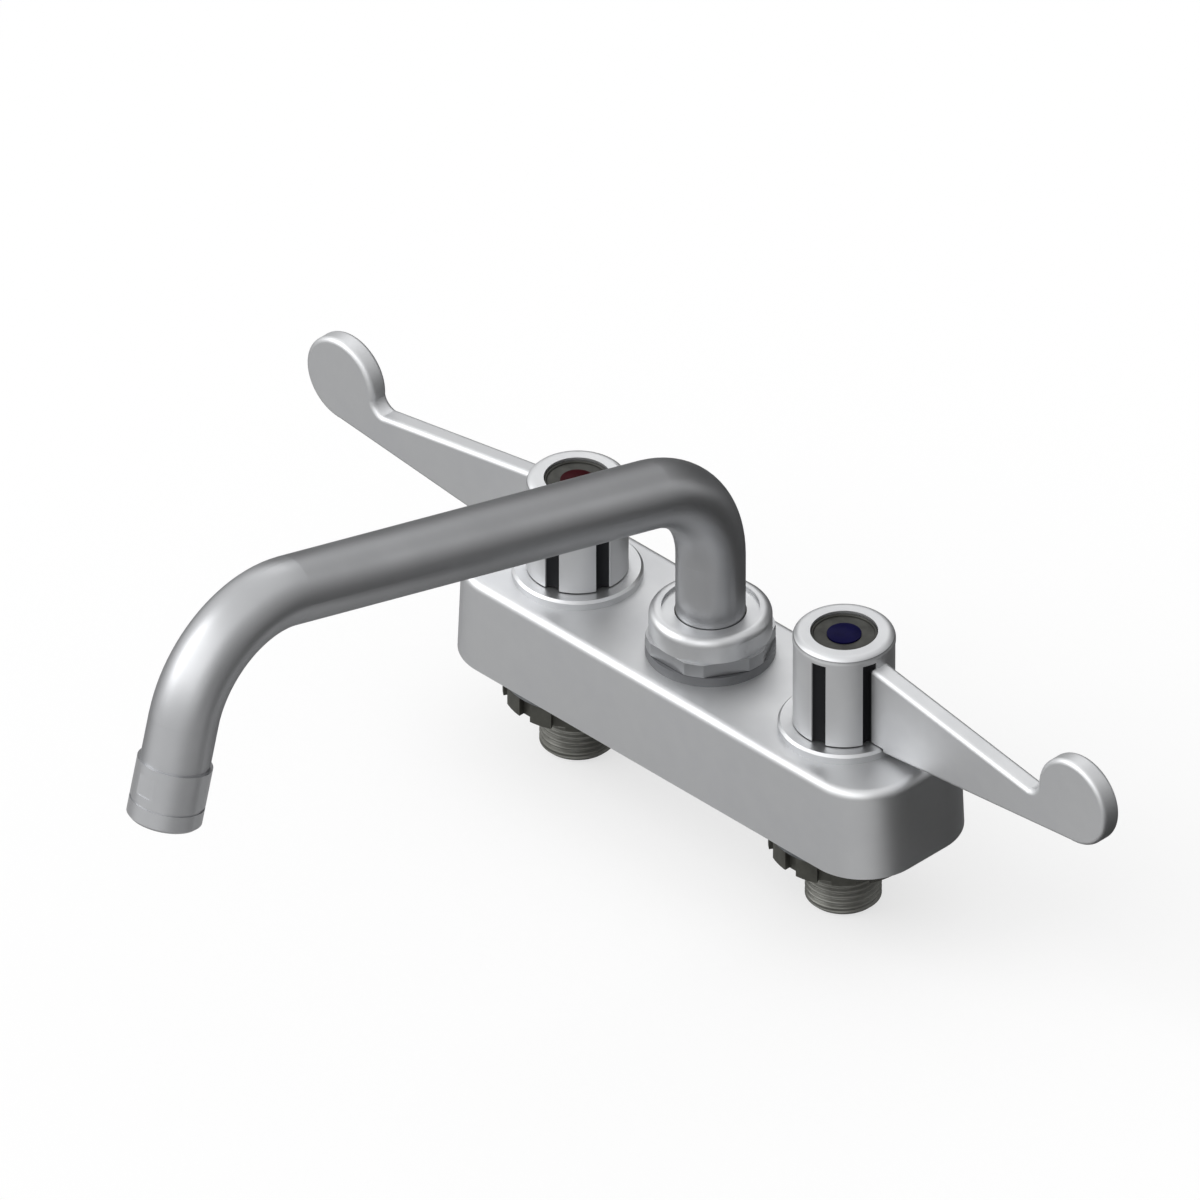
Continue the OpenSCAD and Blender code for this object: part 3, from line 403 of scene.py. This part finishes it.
def threadTree():
    tree, given = newTree("shankThread", {
        "Float": ("Wall from", "Pitch", "Depth", "Half crest", "Free end", "Full depth at"),
        "Vector": ("Hot axis", "Cold axis"), "Material": ("Finish",)})
    position = addNode(tree, "GeometryNodeInputPosition")
    xyz = addNode(tree, "ShaderNodeSeparateXYZ", links={0: position}).outputs
    flat = addNode(tree, "ShaderNodeCombineXYZ", links={"X": xyz["X"], "Y": xyz["Y"]})
    radius = addNode(tree, "ShaderNodeVectorMath", {"operation": "LENGTH"}, {0: flat}).outputs["Value"]
    outwards = addNode(tree, "ShaderNodeVectorMath", {"operation": "NORMALIZE"}, {0: flat})
    # height less turn, both counted in threads, is a whole number all along the crest
    angle = addNode(tree, "ShaderNodeMath", {"operation": "ARCTAN2"}, {0: xyz["Y"], 1: xyz["X"]})
    turns = addNode(tree, "ShaderNodeMath", {"operation": "DIVIDE", 1: 2 * math.pi}, {0: angle})
    threads = addNode(tree, "ShaderNodeMath", {"operation": "DIVIDE"},
                      {0: xyz["Z"], 1: given["Pitch"]})
    across = addNode(tree, "ShaderNodeMath", {"operation": "SUBTRACT"}, {0: threads, 1: turns})
    # from 0 on a crest to half a thread in the groove between two
    fromCrest = addNode(tree, "ShaderNodeMath", {"operation": "PINGPONG", 1: 0.5}, {0: across})
    flank = addNode(tree, "ShaderNodeMapRange", {"From Max": 0.5}, {
        "Value": fromCrest, "From Min": given["Half crest"]})
    deepest = addNode(tree, "ShaderNodeMapRange", links={
        "Value": xyz["Z"], "From Min": given["Free end"], "From Max": given["Full depth at"],
        "To Max": given["Depth"]})
    cut = addNode(tree, "ShaderNodeMath", {"operation": "MULTIPLY"}, {0: flank, 1: deepest})
    inset = addNode(tree, "ShaderNodeVectorMath", {"operation": "SCALE"}, {0: outwards, "Scale": cut})
    cutPlace = addNode(tree, "ShaderNodeVectorMath", {"operation": "SUBTRACT"},
                       {0: position, 1: inset})
    onWall = addNode(tree, "FunctionNodeCompare", {"operation": "GREATER_THAN"},
                     {0: radius, 1: given["Wall from"]})
    threaded = addNode(tree, "GeometryNodeSetPosition", links={
        "Geometry": given["Geometry"], "Selection": onWall, "Position": cutPlace})
    places = addNode(tree, "GeometryNodeMeshLine", {"mode": "END_POINTS", "Count": 2}, {
        "Start Location": given["Hot axis"], "Offset": given["Cold axis"]})
    both = addNode(tree, "GeometryNodeInstanceOnPoints", links={
        "Points": places, "Instance": threaded})
    endTree(tree, both, given["Finish"])
    return tree


shankLow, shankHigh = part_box("hot_shank")
shankRadius = (shankHigh.x - shankLow.x) / 2
threadEnd = shankLow.z + shankThread["chamfer"]
shankBlank = plainShank(shankThread, shankRadius, shankLow.z, shankHigh.z)
shanks = runTree(shankBlank, threadTree(), {
    "Wall from": shankRadius * shankThread["wallShare"], "Pitch": shankThread["pitch"],
    "Depth": shankThread["depth"], "Half crest": shankThread["crestShare"] / 2,
    "Free end": threadEnd, "Full depth at": threadEnd + shankThread["runOut"],
    "Hot axis": (hotAxis.x, 0, 0), "Cold axis": (coldAxis.x, 0, 0),
    "Finish": finishes["rawBrass"]}, "threaded_shanks")
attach(shanks, "root")
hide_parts("hot_shank", "cold_shank")
print("Shanks:", len(shanks.data.polygons), "faces")


# The outlet's screen: steel wire cloth in a rolled rim, woven in geometry nodes

wireScreen = {
    "rimWidth": 1.2 * mm, "rimHeight": 0.8 * mm, "rimSides": 96,
    "rimRound": 0.25 * mm, "roundSteps": 3,
    "pitch": 0.8 * mm,        # real cloth has about 0.5 mm, drawn coarser so that it shows
    "wireRadius": 0.14 * mm, "wires": 21, "pointsPerWire": 130, "wireSides": 6,
    "cloth": 8.4 * mm,        # radius of the cloth, whose edge is held in the rim
}


def screenTree():
    tree, given = newTree("wovenScreen", {
        "Float": ("Rim radius", "Rim width", "Rim height", "Rim round", "Cloth radius", "Pitch",
                  "First wire", "Wire radius"),
        "Int": ("Rim sides", "Round steps", "Wires", "Points per wire", "Wire sides"),
        "Vector": ("Centre", "Lean"), "Material": ("Finish",)})
    start = addNode(tree, "ShaderNodeCombineXYZ", links={"Y": given["First wire"]})
    step = addNode(tree, "ShaderNodeCombineXYZ", links={"Y": given["Pitch"]})
    places = addNode(tree, "GeometryNodeMeshLine", {"mode": "OFFSET"}, {
        "Count": given["Wires"], "Start Location": start, "Offset": step})
    wire = addNode(tree, "GeometryNodeCurvePrimitiveLine", {"Start": (-1, 0, 0), "End": (1, 0, 0)})
    wire = addNode(tree, "GeometryNodeResampleCurve", links={
        "Curve": wire, "Count": given["Points per wire"]})
    laid = addNode(tree, "GeometryNodeInstanceOnPoints", links={"Points": places, "Instance": wire})
    laid = addNode(tree, "GeometryNodeRealizeInstances", links={0: laid})
    # each wire is cut to the round cloth
    position = addNode(tree, "GeometryNodeInputPosition")
    xyz = addNode(tree, "ShaderNodeSeparateXYZ", links={0: position}).outputs
    clothSquared = addNode(tree, "ShaderNodeMath", {"operation": "POWER", 1: 2},
                           {0: given["Cloth radius"]})
    ySquared = addNode(tree, "ShaderNodeMath", {"operation": "POWER", 1: 2}, {0: xyz["Y"]})
    halfSquared = addNode(tree, "ShaderNodeMath", {"operation": "SUBTRACT"},
                          {0: clothSquared, 1: ySquared})
    half = addNode(tree, "ShaderNodeMath", {"operation": "SQRT"}, {0: halfSquared})
    along = addNode(tree, "ShaderNodeMath", {"operation": "MULTIPLY"}, {0: xyz["X"], 1: half})
    # it goes over and under in turn, and its neighbour the other way round
    ahead = addNode(tree, "ShaderNodeMath", {"operation": "ADD"}, {0: along, 1: xyz["Y"]})
    crossed = addNode(tree, "ShaderNodeMath", {"operation": "DIVIDE"},
                      {0: ahead, 1: given["Pitch"]})
    phase = addNode(tree, "ShaderNodeMath", {"operation": "MULTIPLY", 1: math.pi}, {0: crossed})
    wave = addNode(tree, "ShaderNodeMath", {"operation": "COSINE"}, {0: phase})
    lift = addNode(tree, "ShaderNodeMath", {"operation": "MULTIPLY"},
                   {0: wave, 1: given["Wire radius"]})
    bent = addNode(tree, "ShaderNodeCombineXYZ", links={"X": along, "Y": xyz["Y"], "Z": lift})
    laid = addNode(tree, "GeometryNodeSetPosition", links={"Geometry": laid, "Position": bent})
    section = addNode(tree, "GeometryNodeCurvePrimitiveCircle", links={
        "Resolution": given["Wire sides"], "Radius": given["Wire radius"]})
    warp = addNode(tree, "GeometryNodeCurveToMesh", {"Fill Caps": True}, {
        "Curve": laid, "Profile Curve": section})
    weft = addNode(tree, "GeometryNodeTransform", {"Rotation": (math.pi, 0, math.pi / 2)},
                   {"Geometry": warp})
    hoop = addNode(tree, "GeometryNodeCurvePrimitiveCircle", links={
        "Resolution": given["Rim sides"], "Radius": given["Rim radius"]})
    edge = addNode(tree, "GeometryNodeCurvePrimitiveQuadrilateral", links={
        "Width": given["Rim width"], "Height": given["Rim height"]})
    edge = addNode(tree, "GeometryNodeFilletCurve", {"mode": "POLY"}, {
        "Curve": edge, "Radius": given["Rim round"], "Count": given["Round steps"]})
    rim = addNode(tree, "GeometryNodeCurveToMesh", links={"Curve": hoop, "Profile Curve": edge})
    joined = addNode(tree, "GeometryNodeJoinGeometry")
    for part in (warp, weft, rim):
        tree.links.new(part.outputs[0], joined.inputs[0])
    placed = addNode(tree, "GeometryNodeTransform", links={
        "Geometry": joined, "Translation": given["Centre"], "Rotation": given["Lean"]})
    endTree(tree, placed, given["Finish"])
    return tree


screenLow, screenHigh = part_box("aerator_screen")
screenBlank = bpy.data.objects.new("screenBlank", bpy.data.meshes.new("screenBlank"))
screen = runTree(screenBlank, screenTree(), {
    "Rim radius": (screenHigh.x - screenLow.x - wireScreen["rimWidth"]) / 2,
    "Rim width": wireScreen["rimWidth"], "Rim height": wireScreen["rimHeight"],
    "Rim round": wireScreen["rimRound"], "Rim sides": wireScreen["rimSides"],
    "Round steps": wireScreen["roundSteps"], "Cloth radius": wireScreen["cloth"],
    "Pitch": wireScreen["pitch"], "Wires": wireScreen["wires"],
    "First wire": -wireScreen["pitch"] * (wireScreen["wires"] - 1) / 2,
    "Wire radius": wireScreen["wireRadius"], "Points per wire": wireScreen["pointsPerWire"],
    "Wire sides": wireScreen["wireSides"], "Centre": nodeCentre("aerator_screen"),
    "Lean": (math.radians(outletTilt), 0, 0), "Finish": finishes["zincSteel"]}, "woven_screen")
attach(screen, "spout")
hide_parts("aerator_screen")
print("Screen:", len(screen.data.polygons), "faces")


# Floor, studio and camera

studio = {
    "floorSize": 6,           # metres
    "floorPale": "#BABABA", "floorSeen": "#A0A0A0", "floorGlow": 0.65, "floorGap": 0.2 * mm,
    "worldStrength": 0.75, "keyStrength": 1.36, "keyAngle": 48, "keyFrom": (-1, -1, 1),
}
# Cards that only reflections see, so that the metal shades from light to dark as in the photo:
# how bright each is along its first and its third edge, and its corners in millimetres
cards = {
    "besideTheEnd": (0.02, 0.02, [
        (95, -10, -27), (135, -10, -27), (135, 500, -27), (95, 500, -27)]),
    "besideTheRun": (0.04, 0.14, [
        (135, 500, -27), (135, -120, -27), (600, -120, -27), (600, 500, -27)]),
    "behindTheBody": (0.1, 0.16, [
        (-90, 32, -27), (95, 32, -27), (95, 500, -27), (-90, 500, -27)]),
    "leftOfTheBody": (0.08, 0.14, [
        (-90, -15, -27), (-90, 500, -27), (-500, 500, -27), (-500, -15, -27)]),
    "rightWall": (0.2, 0.8, [
        (600, -400, -28), (600, 900, -28), (600, 900, 800), (600, -400, 800)]),
    "backWall": (0.05, 0.2, [
        (-1200, 700, -28), (300, 700, -28), (300, 700, 600), (-1200, 700, 600)]),
    "overhead": (1.9, 1.9, [
        (-1500, 300, 750), (-200, 300, 750), (-200, 1500, 1300), (-1500, 1500, 1300)]),
    "frontSoftbox": (2, 2, [
        (-450, -1100, 480), (950, -1100, 480), (950, -600, 1150), (-450, -600, 1150)]),
    "beforeTheCorner": (0.62, 0.62, [
        (88, -96, -26), (190, -96, -26), (190, -34, -26), (88, -34, -26)]),
    "frontOfTheFloor": (1, 1, [
        (-900, -900, -27), (300, -900, -27), (300, -400, -27), (-900, -400, -27)]),
}


def stagePlane(name, corners, material):
    data = bpy.data.meshes.new(name)
    data.from_pydata(corners, [], [tuple(range(len(corners)))])
    data.materials.append(material)
    plane = bpy.data.objects.new(name, data)
    bpy.context.scene.collection.objects.link(plane)
    return plane


# To the camera the floor is mostly its own white, so that the shadow on it stays light
def makeFloor(values):
    material, tree = newMaterial("paleFloor")
    ray = addNode(tree, "ShaderNodeLightPath").outputs["Is Camera Ray"]
    glow = addNode(tree, "ShaderNodeMath", {"operation": "MULTIPLY", 1: values["floorGlow"]}, {0: ray})
    pale, seen = linearColour(values["floorPale"]), linearColour(values["floorSeen"])
    colour = addNode(tree, "ShaderNodeMix", {"data_type": "RGBA", 6: pale, 7: seen}, {0: ray})
    shader = addNode(tree, "ShaderNodeBsdfPrincipled", {
        "Roughness": 1, "Specular IOR Level": 0, "Emission Color": (1, 1, 1, 1)},
        {"Base Color": colour.outputs[2], "Emission Strength": glow})
    addNode(tree, "ShaderNodeOutputMaterial", links={"Surface": shader})
    half = values["floorSize"] / 2
    z = cadLow.z - values["floorGap"]
    corners = [(-half, -half, z), (half, -half, z), (half, half, z), (-half, half, z)]
    stagePlane("floor", corners, material)


def makeCard(name, nearStrength, farStrength, corners):
    corners = [Vector(corner) * mm for corner in corners]
    across = corners[3] - corners[0]
    start = corners[0].dot(across.normalized())
    material, tree = newMaterial(name)
    place = addNode(tree, "ShaderNodeTexCoord").outputs["Object"]
    share = addNode(tree, "ShaderNodeVectorMath", {
        "operation": "DOT_PRODUCT", 1: across.normalized()}, {0: place}).outputs["Value"]
    strength = addNode(tree, "ShaderNodeMapRange", {
        "From Min": start, "From Max": start + across.length,
        "To Min": nearStrength, "To Max": farStrength}, {"Value": share})
    glow = addNode(tree, "ShaderNodeEmission", {"Color": (1, 1, 1, 1)}, {"Strength": strength})
    addNode(tree, "ShaderNodeOutputMaterial", links={"Surface": glow})
    card = stagePlane(name, corners, material)
    card.visible_camera = False
    card.visible_diffuse = False
    card.visible_shadow = False


# White to the camera and in metal and glass, and plain soft light on everything else
def makeWorld(values):
    world = bpy.data.worlds.new("studioWorld")
    world.use_nodes = True
    tree = world.node_tree
    tree.nodes.clear()
    ray = addNode(tree, "ShaderNodeLightPath").outputs
    seen = addNode(tree, "ShaderNodeMath", {"operation": "MAXIMUM"},
                   {0: ray["Is Camera Ray"], 1: ray["Is Glossy Ray"]})
    seen = addNode(tree, "ShaderNodeMath", {"operation": "MAXIMUM"},
                   {0: seen, 1: ray["Is Transmission Ray"]})
    strength = addNode(tree, "ShaderNodeMapRange", {"To Min": values["worldStrength"], "To Max": 1},
                       {"Value": seen})
    light = addNode(tree, "ShaderNodeBackground", {"Color": (1, 1, 1, 1)}, {"Strength": strength})
    addNode(tree, "ShaderNodeOutputWorld", links={"Surface": light})
    bpy.context.scene.world = world


def makeKeyLight(values):
    lamp = bpy.data.lights.new("keyLight", "SUN")
    lamp.energy = values["keyStrength"]
    lamp.angle = math.radians(values["keyAngle"])
    light = bpy.data.objects.new("keyLight", lamp)
    light.rotation_euler = Vector(values["keyFrom"]).to_track_quat("Z", "Y").to_euler()
    bpy.context.scene.collection.objects.link(light)


# The photo shows no perspective, so the camera stands far off with a very long lens. It is set
# so that the scale is the photo's own halfway between the outlet and the body's far corner.
cameraLook = {
    "azimuth": 45, "elevation": 35.264, "lens": 1650, "sensor": 36, "nearest": 1,
    "frameWidth": 323.6 * mm, "onAxis": (-65.04 * mm, 22.82 * mm, 0), "middleDepth": 50 * mm,
}


def makeCamera(values):
    turn, rise = math.radians(values["azimuth"]), math.radians(values["elevation"])
    back = Vector((math.sin(turn) * math.cos(rise), -math.cos(turn) * math.cos(rise), math.sin(rise)))
    data = bpy.data.cameras.new("camera")
    data.lens, data.sensor_width = values["lens"], values["sensor"]
    distance = values["frameWidth"] * values["lens"] / values["sensor"] + values["middleDepth"]
    data.clip_start, data.clip_end = values["nearest"], 2 * distance
    camera = bpy.data.objects.new("camera", data)
    target = Vector(values["onAxis"])
    target -= back * target.dot(back)         # the point of that line nearest to the object's origin
    camera.location = target + back * distance
    camera.rotation_mode = "QUATERNION"
    camera.rotation_quaternion = back.to_track_quat("Z", "Y")
    bpy.context.scene.collection.objects.link(camera)
    bpy.context.scene.camera = camera


makeFloor(studio)
makeWorld(studio)
makeKeyLight(studio)
for cardName, card in cards.items():
    makeCard(cardName, *card)
makeCamera(cameraLook)
bpy.context.scene.view_settings.view_transform = "Standard"
print("Studio and camera set")
